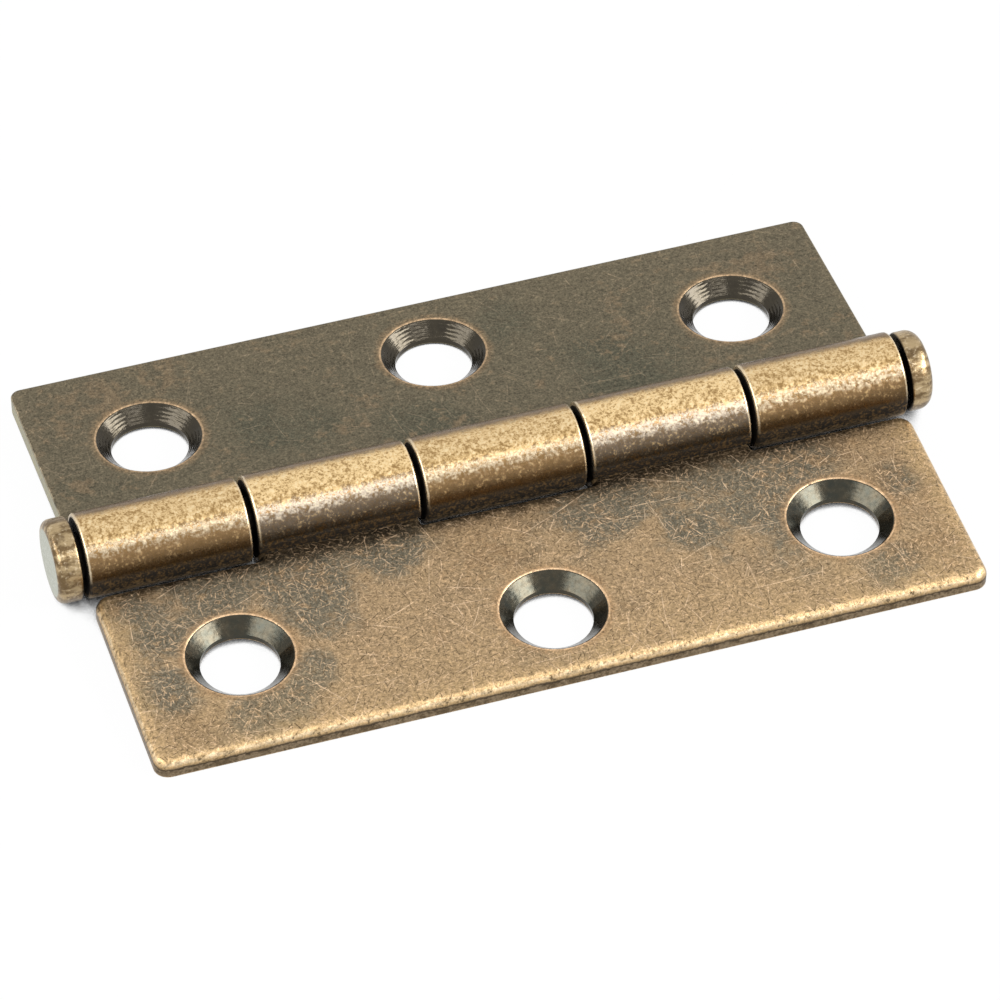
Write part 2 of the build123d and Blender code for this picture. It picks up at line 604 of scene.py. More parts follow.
@dataclass
class LeafPlace:
    """Where a point of a leaf lies, measured on the leaf itself.

    Attributes:
        x: Along the pin.
        out: From the pin axis toward the free edge.
        height: From the pin axis along the leaf's normal.
        plane: The three together as a vector.
        roll: Distance from the pin axis.
        around: Angle about the pin axis in half turns: 0 at the front, 0.5 at the top, 1 at the back and
            negative on the underside.
    """

    x: Value
    out: Value
    height: Value
    plane: Value
    roll: Value
    around: Value

    @classmethod
    def of(cls, graph: Graph, plan: HingePlan, side: Side) -> "LeafPlace":
        """Work the place out from the object's own coordinates.

        Args:
            graph: The tree to build in.
            plan: Sizes of the hinge.
            side: Which leaf.

        Returns:
            The place as values.
        """
        x, y, z = graph.parts(graph.position())
        across = y * float(side.value)
        up = z - plan.barrel
        cosine, sine = math.cos(plan.tilt), math.sin(plan.tilt)
        out = across * cosine - up * sine
        height = across * sine + up * cosine
        roll = graph.math("SQRT", y * y + up * up)
        around = graph.math("ARCTAN2", up, -y) * (1.0 / math.pi)
        return cls(x, out, height, graph.joined(x, out, height), roll, around)


@dataclass(frozen=True)
class Grain:
    """The noises that every part of a finish shares, each about 0 to 1."""

    broad: Value
    middle: Value
    small: Value
    grain: Value
    dust: Value

    @classmethod
    def of(cls, graph: Graph, pattern: Value) -> "Grain":
        """Build the noises.

        Args:
            graph: The tree to build in.
            pattern: Place in millimetres, already moved by the finish's seed.

        Returns:
            The noises, from blotches of 12 mm down to grain of 0.12 mm.
        """
        return cls(
            broad=graph.noise(pattern, 12.0, 3.0, 0.55),
            middle=graph.noise(pattern, 3.6, 4.0, 0.60, 11.0),
            small=graph.noise(pattern, 1.1, 3.0, 0.65, 23.0),
            grain=graph.noise(pattern, 0.34, 2.0, 0.65, 37.0),
            dust=graph.noise(pattern, 0.16, 1.0, 0.5, 53.0),
        )

    def mixed(self, **weights: float) -> Value:
        """Sum of some of the noises.

        Args:
            weights: Each noise's name with its weight.

        Returns:
            The weighted sum.
        """
        return reduce(Value.__add__, [getattr(self, name) * weight for name, weight in weights.items()])

    def swing(self, **reaches: float) -> Value:
        """Sum of some of the noises about zero.

        Args:
            reaches: Each noise's name with how far it swings from end to end.

        Returns:
            A value that is about 0 on the whole.
        """
        return reduce(Value.__add__, [(getattr(self, name) - 0.5) * reach for name, reach in reaches.items()])


@dataclass(frozen=True)
class LeafZones:
    """Where the parts of a leaf lie, as masks from 0 to 1.

    Attributes:
        past_rim: Distance outside the nearest countersink's rim, in millimetres.
        upper: 0 on the back face and 1 above it.
        sink: Inside the countersinks.
        barrel: On the knuckles.
        ends: On the ends of the knuckles, below their outer rims.
        crease: Where the knuckles are made dull and not metallic, so that they go dark as painted shade:
            beside the leaf in front of them, and on their ends.
    """

    past_rim: Value
    upper: Value
    sink: Value
    barrel: Value
    ends: Value
    crease: Value
    BACK_SKIN: ClassVar[Span] = (0.01, 0.09)
    SINK_EDGE: ClassVar[Span] = (0.02, -0.05)
    BARREL_SKIN: ClassVar[Span] = (0.10, 0.02)
    END_SKIN: ClassVar[Span] = (-0.26, -0.42)
    CREASE_TOP: ClassVar[Span] = (0.045, -0.01)
    CREASE_FOOT: ClassVar[Span] = (-0.20, -0.12)

    @classmethod
    def of(
        cls, graph: Graph, plan: HingePlan, place: LeafPlace, holes: Sequence[tuple[float, float]]
    ) -> "LeafZones":
        """Build the masks.

        Args:
            graph: The tree to build in.
            plan: Sizes of the hinge.
            place: Where a point lies on the leaf.
            holes: Each screw hole's place along the pin and out from it, in millimetres.

        Returns:
            The masks of one leaf.
        """
        past_rim = cls._to_axis(graph, place, holes) - plan.sink
        upper = (place.height + plan.back).ramp(*cls.BACK_SKIN)
        barrel = (place.roll - plan.barrel).ramp(*cls.BARREL_SKIN)
        ends = (place.roll - plan.barrel).ramp(*cls.END_SKIN)
        by_leaf = place.around.ramp(*cls.CREASE_TOP) * place.around.ramp(*cls.CREASE_FOOT)
        return cls(
            past_rim=past_rim,
            upper=upper,
            sink=past_rim.ramp(*cls.SINK_EDGE) * upper,
            barrel=barrel,
            ends=ends,
            crease=barrel * by_leaf.at_least(ends),
        )

    @staticmethod
    def _to_axis(graph: Graph, place: LeafPlace, holes: Sequence[tuple[float, float]]) -> Value:
        """Distance from the nearest screw hole's axis, in the plane of the leaf."""
        distances = []
        for along, out in holes:
            dx, dy = place.x - along, place.out - out
            distances.append(graph.math("SQRT", dx * dx + dy * dy))
        return reduce(Value.at_most, distances)


@dataclass(frozen=True)
class LeafFinish:
    """Rubbed antique plating of one leaf.

    Attributes:
        face: Colours of the flat face.
        barrel: Colours of the knuckles.
        patches: How readily the patches cover the ground, from 0 to 1.
        by_barrel: How much the patches keep to the barrel's side.
        stained: Share of the small warm stains.
        rubbed: How far the free edges are rubbed, in millimetres.
        rub: How strongly the rubbing shows.
        stroke: How strongly the fine strokes show.
        scratch: How strongly the hairline scratches show.
        mottle: How strongly the grain lifts and sinks the colour.
        grit: How strongly the grain changes the brightness.
        barrel_shade: How dark the painted shade on the face close to the barrel is.
        dark_spots: Where the larger patches gather: place along the pin, out from it, and radius.
        warm_spots: Where the warm stains gather.
        rim: How strongly the countersink rims show.
        rollover: Height of the rolled-over upper edge, in millimetres.
        seam: How dark the line is where the rolled-over edge meets the cut wall.
        bare_wall: Share of bare metal on the cut edge below it.
        roughness: Middle roughness.
        turned: How deep the turning rings in the countersinks are.
        seed: Moves every pattern, so that the leaves differ.
        tones: Colours of the plating.
        bands: Where the colours of the knuckles lie.
        spans: Where the wear sets in.
        light_strokes: Short light strokes.
        dark_strokes: Short dark strokes.
        hairlines: Long hairline scratches.
        SEED_SLANT: How far the patterns move across for each unit along.
        RELIEF: Depth of the fine relief in metres.
        SMOOTHEST: Lowest roughness anywhere.
        RING_STEP: Radians of the turning rings to a millimetre.
        RING_WOBBLE: Radians by which the small noise bends the rings.
    """

    face: FaceTones
    barrel: BarrelTones
    patches: float
    by_barrel: float
    stained: float
    rubbed: float
    rub: float
    stroke: float
    scratch: float
    mottle: float
    grit: float
    barrel_shade: float
    dark_spots: tuple[Spot, ...]
    warm_spots: tuple[Spot, ...]
    rim: float
    rollover: float
    seam: float
    bare_wall: float
    roughness: float
    turned: float
    seed: float
    tones: PatinaTones = field(default_factory=PatinaTones)
    bands: BarrelBands = field(default_factory=BarrelBands)
    spans: WearSpans = field(default_factory=WearSpans)
    light_strokes: tuple[ScratchLayer, ...] = (
        ScratchLayer(0.55, 0.055, 0.48, 0.80, 5.3),
        ScratchLayer(0.90, 0.060, 0.48, 0.80, 13.9),
        ScratchLayer(1.60, 0.060, 0.48, 0.75, 27.1),
    )
    dark_strokes: tuple[ScratchLayer, ...] = (
        ScratchLayer(0.60, 0.060, 0.46, 0.80, 61.3),
        ScratchLayer(1.20, 0.060, 0.48, 0.75, 73.7),
    )
    hairlines: tuple[ScratchLayer, ...] = (
        ScratchLayer(8.0, 0.055, 0.52, 0.70, 3.1),
        ScratchLayer(5.5, 0.055, 0.50, 0.65, 17.7),
        ScratchLayer(3.2, 0.060, 0.48, 0.60, 43.9),
        ScratchLayer(2.1, 0.060, 0.45, 0.45, 59.2),
    )
    SEED_SLANT: ClassVar[float] = 1.7
    RELIEF: ClassVar[float] = 0.000014
    SMOOTHEST: ClassVar[float] = 0.14
    RING_STEP: ClassVar[float] = 24.0
    RING_WOBBLE: ClassVar[float] = 2.5

    def dress(self, plan: HingePlan, side: Side, holes: Sequence[tuple[float, float]]) -> bpy.types.Material:
        """Build the leaf's material.

        Args:
            plan: Sizes of the hinge.
            side: Which leaf.
            holes: Each screw hole's place along the pin and out from it, in millimetres.

        Returns:
            The material.
        """
        material = bpy.data.materials.new(f"{side.name.lower()}_leaf_patina")
        material.use_nodes = True
        graph = Graph(material.node_tree)
        place = LeafPlace.of(graph, plan, side)
        pattern = graph.moved(place.plane, (self.seed, self.seed * self.SEED_SLANT, 0.0))
        noises = Grain.of(graph, pattern)
        zones = LeafZones.of(graph, plan, place, holes)
        bump = graph.node(
            "ShaderNodeBump",
            None,
            {"Strength": 1.0, "Distance": self.RELIEF, "Height": self._relief(zones, noises)},
        )
        shader = graph.node(
            "ShaderNodeBsdfPrincipled",
            None,
            {
                "Base Color": self._colour(graph, plan, place, zones, pattern, noises),
                # No metal in the crease, so that it goes dark: painted shade.
                "Metallic": 0.90 - zones.crease * 0.90,
                "Specular IOR Level": 0.2,
                "Roughness": self._gloss(zones, noises),
                "Normal": graph.out(bump, "Normal"),
            },
        )
        graph.node("ShaderNodeOutputMaterial", None, {"Surface": shader.outputs[0]})
        return material

    def _colour(
        self, graph: Graph, plan: HingePlan, place: LeafPlace, zones: LeafZones, pattern: Value, noises: Grain
    ) -> Value:
        """Colour of the whole leaf, from the flat face outward."""
        colour = self._flat_face(graph, plan, place, pattern, noises)
        hairlines = self._hairlines(graph, pattern) * (0.35 + 0.65 * noises.small)
        colour = graph.blend(hairlines * self.scratch, colour, self.face.hairline)
        colour = graph.blend(zones.upper, colour, self._rim(graph, zones, noises, colour))
        colour = self._cut_edge(graph, plan, place, zones, noises, colour)
        grit = noises.mixed(small=0.22, grain=0.45, dust=0.33)
        colour = graph.blend(1.0, colour, (grit - 0.5) * self.grit + 1.0, "MULTIPLY")
        # Dark countersinks: painted shade of the recess.
        sink = graph.blend(noises.small * 0.3, self.face.sink, self.face.dark)
        colour = graph.blend(zones.sink, colour, sink)
        return graph.blend(zones.barrel, colour, self._knuckles(graph, plan, place, zones, noises))

    def _gloss(self, zones: LeafZones, noises: Grain) -> Value:
        """Roughness: smoother on the barrel and in the countersinks, dull in the creases."""
        worn = self.roughness + noises.swing(grain=0.20, small=0.10) - zones.barrel * 0.13 - zones.sink * 0.22
        return (worn + zones.crease * 0.5).at_least(self.SMOOTHEST)

    def _relief(self, zones: LeafZones, noises: Grain) -> Value:
        """Height of the fine relief: grain on the plating, turning rings in the countersinks."""
        turns = zones.past_rim * self.RING_STEP + noises.small * self.RING_WOBBLE
        rings = turns.wave() * noises.small * zones.sink * self.turned
        return noises.mixed(grain=0.6, small=0.8) * (1.0 - zones.sink * 0.8) + rings

    @staticmethod
    def _strongest(graph: Graph, layers: Sequence[ScratchLayer], plane: Value, bend: Value) -> Value:
        """Several scratch layers together, the strongest winning."""
        return reduce(Value.at_least, [layer.mask(graph, plane, bend) for layer in layers])

    def _hairlines(self, graph: Graph, pattern: Value) -> Value:
        """The long fine scratches, a little curved."""
        size, depth, shifts = 5.0, 0.3, (71.0, 83.0)
        along, across = (graph.noise(pattern, size, 1.0, 0.5, shift) * depth for shift in shifts)
        return self._strongest(graph, self.hairlines, pattern, graph.joined(along, across, 0.0))

    def _flat_face(
        self, graph: Graph, plan: HingePlan, place: LeafPlace, pattern: Value, noises: Grain
    ) -> Value:
        """Colour of the flat face, without hairlines and rims."""
        face, spans = self.face, self.spans
        flat = graph.joined(place.x, place.out, 0.0)
        spread = (
            place.out.ramp(*spans.barrel_side) * self.by_barrel
            + graph.spots(flat, self.dark_spots) * 0.34
            + noises.mixed(broad=0.34, middle=0.36, small=0.20, grain=0.10)
        )
        colour = graph.blend((spread + self.patches).ramp(*spans.patch), face.ground, face.patch)
        warmth = noises.mixed(middle=0.45, small=0.45, grain=0.10) + graph.spots(flat, self.warm_spots) * 0.22
        colour = graph.blend(warmth.ramp(*spans.stain) * self.stained, colour, face.stain)
        # Painted shade on the face beside the barrel.
        barrel_shade = (place.out + noises.swing(small=0.8)).ramp(*spans.barrel_shade)
        colour = graph.blend(barrel_shade * self.barrel_shade, colour, self.tones.crease)
        colour = graph.blend(self._rubbing(plan, place, noises) * self.rub, colour, face.rubbed)

        still = graph.joined(0.0, 0.0, 0.0)
        light = self._strongest(graph, self.light_strokes, pattern, still)
        dark = self._strongest(graph, self.dark_strokes, pattern, still)
        colour = graph.blend(light * self.stroke * (0.4 + 0.8 * noises.middle), colour, face.light)
        colour = graph.blend(dark * self.stroke, colour, face.dark)
        lifted = noises.grain.ramp(*spans.peaks) * 0.50 + noises.dust.ramp(*spans.peaks) * 0.40
        colour = graph.blend(lifted * self.mottle, colour, face.light)
        sunk = noises.grain.ramp(*spans.hollows) * 0.45 + noises.dust.ramp(*spans.hollows) * 0.35
        return graph.blend(sunk * self.mottle, colour, face.dark)

    def _rubbing(self, plan: HingePlan, place: LeafPlace, noises: Grain) -> Value:
        """Where handling has rubbed the face: a ragged band at the edges, and slowly toward the free edge."""
        to_free_edge = plan.reach - place.out
        to_edge = to_free_edge.at_most(plan.half_length - abs(place.x))
        ragged = to_edge + noises.swing(middle=1.8, small=1.0, grain=0.7)
        band = ragged.ramp(self.rubbed, self.rubbed * 0.15)
        slow = (to_free_edge + noises.swing(middle=3.0)).ramp(*self.spans.toward_edge)
        return band.at_least(slow * 0.45)

    def _rim(self, graph: Graph, zones: LeafZones, noises: Grain, colour: Value) -> Value:
        """Copper halo, and the thin line round each countersink: worn, and partly a painted glint on its rim.
        """
        halo = (zones.past_rim + noises.swing(small=0.5)).ramp(*self.spans.halo) * (0.4 + 0.6 * noises.grain)
        colour = graph.blend(halo * self.rim * 0.75, colour, self.tones.halo)
        # Thin bright line at the rim: worn, and partly a painted glint.
        from_line = abs(zones.past_rim - 0.06 + noises.swing(grain=0.06))
        line = from_line.ramp(*self.spans.rim_line) * (0.35 + 0.65 * noises.small)
        return graph.blend(line * self.rim, colour, self.tones.rim)

    def _cut_edge(
        self, graph: Graph, plan: HingePlan, place: LeafPlace, zones: LeafZones, noises: Grain, colour: Value
    ) -> Value:
        """Rolled-over upper edge, rubbed bright with a painted highlight along its crest, the cut wall below
        it, and painted shade on the notch wall beside the barrel.
        """
        spans, tones = self.spans, self.tones
        below = -plan.face_drop - place.height
        depth = below * (1.0 / self.rollover)
        ragged = depth + noises.swing(small=0.16, grain=0.16)
        flank = ragged.ramp(*spans.flank)
        colour = graph.blend(flank * depth.ramp(*spans.foot) * 0.40, colour, self.face.rubbed)
        # Bright line along the crest: rubbed wear, and partly a painted highlight.
        crest_wear_and_glint = abs(ragged - 0.48).ramp(*spans.crest_wear_and_glint) * (0.25 + 0.75 * noises.small)
        colour = graph.blend(crest_wear_and_glint * 0.50, colour, tones.bright)
        pits = noises.mixed(grain=0.6, small=0.4).ramp(*spans.pits)
        colour = graph.blend(pits * flank * 0.7, colour, self.face.dark)
        plate = noises.mixed(small=0.6, grain=0.4).ramp(*spans.plate)
        wall = graph.blend(self.bare_wall, graph.blend(plate, self.face.dark, tones.wall), tones.bare)
        colour = graph.blend(ragged.ramp(*spans.wall) * zones.upper, colour, wall)
        colour = graph.blend(abs(ragged - 1.0).ramp(*spans.seam) * self.seam, colour, tones.crease)
        # Notch wall beside the barrel darkened: painted shade.
        notch = place.out.ramp(*spans.notch_out) * below.ramp(*spans.notch_depth)
        return graph.blend(notch, colour, tones.crease)

    def _knuckles(
        self, graph: Graph, plan: HingePlan, place: LeafPlace, zones: LeafZones, noises: Grain
    ) -> Value:
        """Colour of the knuckles: painted shade in the creases, gaps and at the back, a painted highlight on
        the shoulder, and a top that is rubbed and partly painted light.
        """
        tones, bands = self.barrel, self.bands
        angle = place.around * HALF_TURN + noises.swing(small=7.0, grain=9.0)
        speckle = noises.mixed(small=0.22, grain=0.48, dust=0.30)
        # Near black at the crease, then the dark low band: painted shade.
        colour = graph.blend(angle.ramp(*bands.low), self.tones.deep_shade, tones.low)
        colour = graph.blend(angle.ramp(*bands.under), colour, tones.under)
        colour = graph.blend(angle.ramp(*bands.middle), colour, tones.middle)
        flecks = speckle.ramp(*bands.flecks) * place.around.ramp(*bands.flecked)
        colour = graph.blend(flecks * 0.6, colour, tones.dip)
        # Pale band on the shoulder: a painted highlight.
        colour = graph.blend(angle.ramp(*bands.highlight_band), colour, tones.highlight_band)
        # Darker line above it: painted shade.
        colour = graph.blend(angle.ramp(*bands.dip), colour, tones.dip)
        colour = graph.blend(angle.ramp(*bands.top), colour, tones.top)
        rubbed = place.around.ramp(*bands.rubbed)
        specks = speckle.ramp(*bands.specks) * (rubbed * 0.7 + 0.3)
        colour = graph.blend(specks * tones.speckled, colour, tones.spots)
        colour = graph.blend(speckle.ramp(*bands.dust) * rubbed * 0.5, colour, tones.dust)
        mottling = (speckle * 0.7 + noises.middle * 0.3).ramp(*bands.mottling)
        # Dark back of the barrel: painted shade, mottled.
        back = graph.blend(mottling * 0.7, tones.back, tones.under)
        colour = graph.blend(angle.ramp(*bands.back), colour, back)

        worn_end = self._worn_end(plan, place, noises)
        colour = graph.blend(worn_end * 0.60, colour, self.tones.bright)
        # Knuckle ends near black: painted shade of the gaps.
        return graph.blend(zones.ends, colour, self.tones.deep_shade)

    def _worn_end(self, plan: HingePlan, place: LeafPlace, noises: Grain) -> Value:
        """The bright rim at both ends of every knuckle."""
        to_gap = ((place.x - plan.gap_shift) * (1.0 / plan.pitch) + 0.5).whole_distance() * plan.pitch
        from_end = (to_gap - plan.gap * 0.5).at_most(plan.half_length - abs(place.x))
        near_end = (from_end + noises.swing(grain=0.08)).ramp(*self.spans.worn_end)
        return near_end * place.around.ramp(*self.bands.worn_ends)


@dataclass(frozen=True)
class PinFinish:
    """Plating of the pin: a smooth grey left end face, rubbed heads, and a shaft painted near black as the
    shade in the knuckle gaps.

    Attributes:
        roughness: Middle roughness.
        face: The grey end face.
        band: The heads' plating.
        rubbed: Rubbed streaks on it.
        stain: Stains, and the heads' lower half.
        tones: Colours of the plating.
        STREAKS: Noise over which the streaks set in.
        STAINS: Noise over which the stains set in.
        PEAKS: Noise that counts as a peak of the grain.
        LOWER_HALF: Height above the axis over which the heads darken, in millimetres.
        FACE_RIM: The end face's edge, in millimetres from the head's radius.
        FACE_END: The end face's place, in millimetres past the leaf's end.
        SHAFT: Where the shaft begins, in millimetres past the leaf's end.
        STRETCH: Drawn-out streaks, as shares of the noise's scale along each axis.
        RELIEF: Depth of the fine relief in metres.
    """

    roughness: float = 0.33
    face: Rgb = (0.430, 0.445, 0.360)
    band: Rgb = (0.160, 0.105, 0.050)
    rubbed: Rgb = (0.430, 0.320, 0.178)
    stain: Rgb = (0.130, 0.085, 0.045)
    tones: PatinaTones = field(default_factory=PatinaTones)
    STREAKS: ClassVar[Span] = (0.25, 0.75)
    STAINS: ClassVar[Span] = (0.35, 0.05)
    PEAKS: ClassVar[Span] = (0.60, 1.0)
    LOWER_HALF: ClassVar[Span] = (-0.6, -3.0)
    FACE_RIM: ClassVar[Span] = (-0.62, -0.85)
    FACE_END: ClassVar[Span] = (2.2, 2.4)
    SHAFT: ClassVar[Span] = (0.72, 0.55)
    STRETCH: ClassVar[Rgb] = (0.45, 1.0, 1.0)
    RELIEF: ClassVar[float] = 0.000012

    def dress(self, plan: HingePlan, head_radius: float) -> bpy.types.Material:
        """Build the pin's material.

        Args:
            plan: Sizes of the hinge.
            head_radius: Radius of the larger head in millimetres.

        Returns:
            The material.
        """
        material = bpy.data.materials.new("hinge_pin_patina")
        material.use_nodes = True
        graph = Graph(material.node_tree)
        place = graph.position()
        noises = Grain.of(graph, place)
        x, y, z = graph.parts(place)
        up = z - plan.barrel
        radius = graph.math("SQRT", y * y + up * up)
        streaks = graph.noise(graph.scaled(place, self.STRETCH), 0.8, 3.0, 0.6, 9.0)
        colour = graph.blend(streaks.ramp(*self.STREAKS), self.band, self.rubbed)
        colour = graph.blend(noises.small.ramp(*self.STAINS) * 0.6, colour, self.stain)
        colour = graph.blend(noises.grain.ramp(*self.PEAKS) * 0.35, colour, self.tones.bright)
        low = (up + noises.swing(small=1.2)).ramp(*self.LOWER_HALF)
        colour = graph.blend(low * 0.6, colour, self.stain)
        flat = (radius - head_radius).ramp(*self.FACE_RIM)
        far_left = (-x - plan.half_length).ramp(*self.FACE_END)
        colour = graph.blend(flat * far_left, colour, self.face)
        # Shaft within the knuckles near black: painted shade of the gaps.
        shaft = (abs(x) - plan.half_length).ramp(*self.SHAFT)
        colour = graph.blend(shaft, colour, self.tones.deep_shade)
        relief = noises.mixed(grain=0.6, small=0.8)
        bump = graph.node(
            "ShaderNodeBump", None, {"Strength": 1.0, "Distance": self.RELIEF, "Height": relief}
        )
        shader = graph.node(
            "ShaderNodeBsdfPrincipled",
            None,
            {
                "Base Color": colour,
                "Metallic": 0.90,
                "Roughness": self.roughness + noises.swing(grain=0.18),
                "Normal": graph.out(bump, "Normal"),
            },
        )
        graph.node("ShaderNodeOutputMaterial", None, {"Surface": shader.outputs[0]})
        return material


def wear(node: bpy.types.Object, material: bpy.types.Material) -> None:
    """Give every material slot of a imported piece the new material.

    Args:
        node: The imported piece.
        material: Its finish.
    """
    if not node.material_slots:
        node.data.materials.append(material)
    for slot in node.material_slots:
        slot.material = material


@dataclass
class Leaf:
    """One leaf with its rolled knuckles and countersunk holes."""

    name: str
    side: Side
    finish: LeafFinish

    def holes(self, record: Mapping[str, Any], plan: HingePlan) -> list[tuple[float, float]]:
        """Screw hole axes, measured on the leaf.

        Args:
            record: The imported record, whose mounts are the holes.
            plan: Sizes of the hinge.

        Returns:
            Each hole's place along the pin and out from it.
        """
        found = []
        prefix = self.side.name.lower() + "_"
        for mount in record["mounts"]:
            if mount["kind"] == "bore" and mount["name"].startswith(prefix):
                x, y, z = (v * MM for v in mount["pos_m"])
                across, up = y * self.side.value, z - plan.barrel
                found.append((x, across * math.cos(plan.tilt) - up * math.sin(plan.tilt)))
        return found

    def build(self, frame: Mapping[str, Any], plan: HingePlan) -> bpy.types.Object:
        """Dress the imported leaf.

        Args:
            frame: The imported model.
            plan: Sizes of the hinge.

        Returns:
            The dressed piece.
        """
        node = frame["nodes"][self.name]
        wear(node, self.finish.dress(plan, self.side, self.holes(frame["record"], plan)))
        return node


@dataclass
class HingePin:
    """The pin with its two upset heads."""

    name: str
    finish: PinFinish

    def build(self, frame: Mapping[str, Any], plan: HingePlan) -> bpy.types.Object:
        """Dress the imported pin.

        Args:
            frame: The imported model.
            plan: Sizes of the hinge.

        Returns:
            The dressed piece.
        """
        node = frame["nodes"][self.name]
        low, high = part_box(self.name)
        wear(node, self.finish.dress(plan, (high.y - low.y) / 2 * MM))
        return node


@dataclass(frozen=True)
class Lamp:
    """One soft rectangular lamp, placed by the direction it shines from.

    Attributes:
        name: Its name.
        azimuth: Degrees round from the front, positive to the right.
        elevation: Degrees up from the table.
        distance: From the hinge, in metres.
        width: Its width in metres.
        height: Its height in metres.
        watts: Its power.
    """

    name: str
    azimuth: float
    elevation: float
    distance: float
    width: float
    height: float
    watts: float

    def build(self, aim: Vector) -> bpy.types.Object:
        """Hang the lamp.

        Args:
            aim: The point that it faces.

        Returns:
            The lamp object.
        """
        light = bpy.data.lights.new(self.name, "AREA")
        light.shape = "RECTANGLE"
        light.size, light.size_y = self.width, self.height
        light.energy = self.watts
        lamp = bpy.data.objects.new(self.name, light)
        turn, rise = math.radians(self.azimuth), math.radians(self.elevation)
        way = Vector((math.sin(turn) * math.cos(rise), -math.cos(turn) * math.cos(rise), math.sin(rise)))
        lamp.location = aim + way * self.distance
        lamp.rotation_euler = (-way).to_track_quat("-Z", "Y").to_euler()
        bpy.context.scene.collection.objects.link(lamp)
        return lamp


@dataclass(frozen=True)
class Studio:
    """White table and surround with soft lamps.

    Attributes:
        floor_half: Half the table's side, in metres.
        floor_drop: Table top below the hinge, in metres, so that the two don't touch.
        floor_tone: How much light the table throws back.
        surround: Strength of the surround as light; it is seen at 1.
        shadow_share: Share of the table's own shading that shows in the open.
        shadow_reach: How far the dark under the hinge reaches, in metres.
        shadow_edge: Openness over which that dark ends.
        shadow_samples: Samples of the openness.
        lamps: The lamps.
    """

    floor_half: float = 1.5
    floor_drop: float = 0.00002
    floor_tone: float = 0.86
    surround: float = 0.62
    shadow_share: float = 0.03
    shadow_reach: float = 0.004
    shadow_edge: Span = (0.22, 0.32)
    shadow_samples: int = 8
    lamps: tuple[Lamp, ...] = (
        Lamp("front_softbox", 22.0, 55.0, 0.75, 0.40, 0.10, 0.55),
        Lamp("right_softbox", 64.0, 31.0, 0.80, 0.80, 0.22, 7.50),
        Lamp("left_softbox", -78.0, 36.0, 0.80, 1.00, 0.22, 4.00),
    )

    def _seen(self, graph: Graph) -> Value:
        """1 for rays that look at the background, directly, in metal or through glass."""
        ray = graph.node("ShaderNodeLightPath")
        seen = graph.out(ray, "Is Camera Ray").at_least(graph.out(ray, "Is Glossy Ray"))
        return seen.at_least(graph.out(ray, "Is Transmission Ray"))

    def build_world(self) -> None:
        """White to look at, a little less as light."""
        world = bpy.data.worlds.new("surround")
        bpy.context.scene.world = world
        world.use_nodes = True
        graph = Graph(world.node_tree)
        seen = self._seen(graph)
        background = graph.node(
            "ShaderNodeBackground",
            None,
            {"Color": WHITE, "Strength": self.surround + seen * (1.0 - self.surround)},
        )
        graph.node("ShaderNodeOutputWorld", None, {"Surface": background.outputs[0]})

    def build_floor(self) -> bpy.types.Object:
        """Lay the table top, just under the hinge.

        Returns:
            The floor object.
        """
        mesh = bpy.data.meshes.new("table_top")
        ways = ((-1, -1), (1, -1), (1, 1), (-1, 1))
        corners = [(x * self.floor_half, y * self.floor_half, -self.floor_drop) for x, y in ways]
        mesh.from_pydata(corners, [], [(0, 1, 2, 3)])
        floor = bpy.data.objects.new("table_top", mesh)
        bpy.context.scene.collection.objects.link(floor)
        material = bpy.data.materials.new("white_table")
        material.use_nodes = True
        graph = Graph(material.node_tree)
        paint = graph.node("ShaderNodeBsdfDiffuse", None, {"Color": (self.floor_tone,) * 3})
        cover = graph.node(
            "ShaderNodeAmbientOcclusion", {"samples": self.shadow_samples}, {"Distance": self.shadow_reach}
        )
        open_sky = graph.out(cover, "AO").ramp(*self.shadow_edge)
        shade = graph.blend(open_sky, BLACK, WHITE)
        glow = graph.node("ShaderNodeEmission", None, {"Color": shade, "Strength": 1.0})
        share = self._seen(graph) * (1.0 - open_sky * self.shadow_share)
        mixed = graph.node("ShaderNodeMixShader", None, {0: share, 1: paint.outputs[0], 2: glow.outputs[0]})
        graph.node("ShaderNodeOutputMaterial", None, {"Surface": mixed.outputs[0]})
        mesh.materials.append(material)
        return floor

    def build(self) -> None:
        """Set up the surround, the table and the lamps."""
        self.build_world()
        self.build_floor()
        for lamp in self.lamps:
            lamp.build(Vector((0.0, 0.0, 0.0)))
        bpy.context.scene.view_settings.view_transform = "Standard"


@dataclass(frozen=True)
class Viewpoint:
    """The photograph's camera: a long lens from the front, the left and above.

    Attributes:
        aim: The point that it faces, in millimetres.
        azimuth: Degrees round from the front, negative to the left.
        elevation: Degrees up from the table.
        distance: From that point, in millimetres.
        roll: Degrees about its own axis.
        lens: Focal length in millimetres.
        sensor: Width of the sensor in millimetres.
        clip: Nearest and farthest distance that it sees, in metres.
    """

    aim: Rgb = (-0.779, -4.727, 3.87)
    azimuth: float = -17.398
    elevation: float = 43.297
    distance: float = 581.53
    roll: float = -0.590
    lens: float = 236.333
    sensor: float = 36.0
    clip: Span = (0.01, 10.0)

    def build(self) -> bpy.types.Object:
        """Create the camera and make it the scene's own.

        Returns:
            The camera object.
        """
        data = bpy.data.cameras.new("photo_camera")
        data.sensor_width = self.sensor
        data.lens = self.lens
        data.clip_start, data.clip_end = self.clip
        camera = bpy.data.objects.new("photo_camera", data)
        turn, rise = math.radians(self.azimuth), math.radians(self.elevation)
        way = Vector((math.sin(turn) * math.cos(rise), -math.cos(turn) * math.cos(rise), math.sin(rise)))
        camera.location = (Vector(self.aim) + way * self.distance) / MM
        facing = (-way).to_track_quat("-Z", "Y").to_matrix().to_4x4()
        camera.rotation_euler = (facing @ Matrix.Rotation(math.radians(self.roll), 4, "Z")).to_euler()
        bpy.context.scene.collection.objects.link(camera)
        bpy.context.scene.camera = camera
        return camera


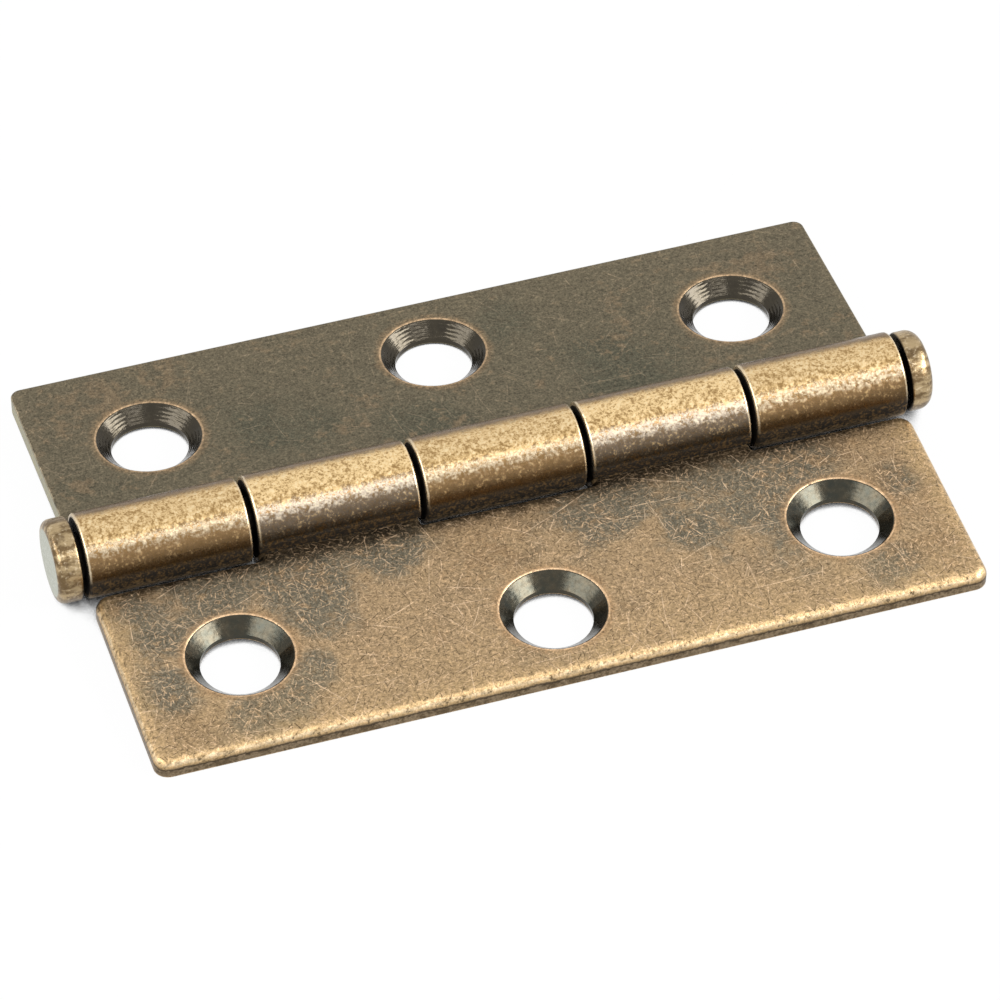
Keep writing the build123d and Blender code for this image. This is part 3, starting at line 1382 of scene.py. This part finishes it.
def rear_finish() -> LeafFinish:
    """The rear leaf: dark olive grey, fine strokes, bare cut wall, turned countersinks.

    Returns:
        Its finish.
    """
    return LeafFinish(
        face=FaceTones(
            ground=(0.135, 0.115, 0.075),
            patch=(0.098, 0.092, 0.062),
            stain=(0.195, 0.140, 0.083),
            rubbed=(0.200, 0.160, 0.100),
            light=(0.280, 0.220, 0.145),
            hairline=(0.380, 0.290, 0.190),
            dark=(0.090, 0.076, 0.050),
            sink=(0.046, 0.040, 0.031),
        ),
        barrel=BarrelTones(
            low=(0.085, 0.053, 0.026),
            middle=(0.230, 0.143, 0.068),
            highlight_band=(0.400, 0.318, 0.215),
            top=(0.715, 0.510, 0.258),
        ),
        patches=0.40,
        by_barrel=0.0,
        stained=0.75,
        rubbed=1.2,
        rub=0.30,
        stroke=0.40,
        scratch=0.55,
        mottle=0.20,
        grit=1.3,
        barrel_shade=0.35,
        dark_spots=((-16.0, 12.0, 6.0), (15.0, 10.0, 6.0), (7.0, 20.0, 4.0), (-3.0, 8.0, 5.0)),
        warm_spots=(
            (-32.0, 21.0, 5.0),
            (-24.0, 22.0, 3.0),
            (31.0, 21.0, 4.0),
            (8.0, 10.0, 0.9),
            (-35.0, 10.0, 1.3),
        ),
        rim=0.55,
        rollover=0.25,
        seam=0.4,
        bare_wall=0.9,
        roughness=0.42,
        turned=0.70,
        seed=7.0,
    )


def front_finish() -> LeafFinish:
    """The front leaf: rubbed golden, dark patches and painted shade by the barrel, a rolled-over edge rubbed
    bright and partly a painted highlight.

    Returns:
        Its finish.
    """
    return LeafFinish(
        face=FaceTones(
            ground=(0.385, 0.268, 0.150),
            patch=(0.175, 0.154, 0.110),
            stain=(0.270, 0.172, 0.088),
            rubbed=(0.535, 0.367, 0.180),
            light=(0.700, 0.490, 0.300),
            hairline=(0.900, 0.660, 0.440),
            dark=(0.130, 0.090, 0.048),
            sink=(0.042, 0.044, 0.036),
        ),
        barrel=BarrelTones(
            low=(0.045, 0.038, 0.030),
            middle=(0.155, 0.118, 0.084),
            highlight_band=(0.430, 0.365, 0.290),
            top=(0.840, 0.605, 0.305),
        ),
        patches=0.45,
        by_barrel=0.10,
        stained=0.65,
        rubbed=3.2,
        rub=0.56,
        stroke=1.00,
        scratch=0.80,
        mottle=0.30,
        grit=1.05,
        barrel_shade=0.85,
        dark_spots=(
            (-33.5, 9.5, 5.0),
            (-27.5, 7.0, 5.5),
            (-21.0, 8.5, 5.5),
            (-19.5, 12.5, 3.5),
            (-22.5, 18.0, 3.2),
            (-26.5, 21.8, 4.0),
            (-34.5, 17.0, 3.0),
            (-12.0, 6.0, 3.5),
            (8.0, 6.5, 5.0),
            (15.0, 13.5, 4.5),
            (20.0, 9.5, 6.0),
            (22.5, 14.0, 4.0),
            (27.0, 7.5, 4.0),
            (31.0, 21.5, 3.0),
            (34.5, 12.0, 2.5),
        ),
        warm_spots=(
            (-4.0, 10.0, 5.0),
            (34.0, 12.0, 8.0),
            (31.0, 7.0, 5.0),
            (35.0, 20.0, 5.0),
            (-34.0, 22.0, 3.0),
        ),
        rim=1.0,
        rollover=1.0,
        seam=0.8,
        bare_wall=0.0,
        roughness=0.42,
        turned=0.05,
        seed=0.0,
    )


def main() -> None:
    """Build the hinge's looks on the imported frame."""
    logging.basicConfig(level=logging.INFO, format="%(name)s: %(message)s")
    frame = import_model()
    plan = HingePlan.from_frame(frame["record"])
    Viewpoint().build()
    Studio().build()
    pieces = (
        Leaf("rear_leaf", Side.REAR, rear_finish()),
        Leaf("front_leaf", Side.FRONT, front_finish()),
        HingePin("hinge_pin", PinFinish()),
    )
    for piece in pieces:
        node = piece.build(frame, plan)
        LOG.info("%s dressed, %d faces", node.name, len(node.data.polygons))


if __name__ == "__main__":
    main()
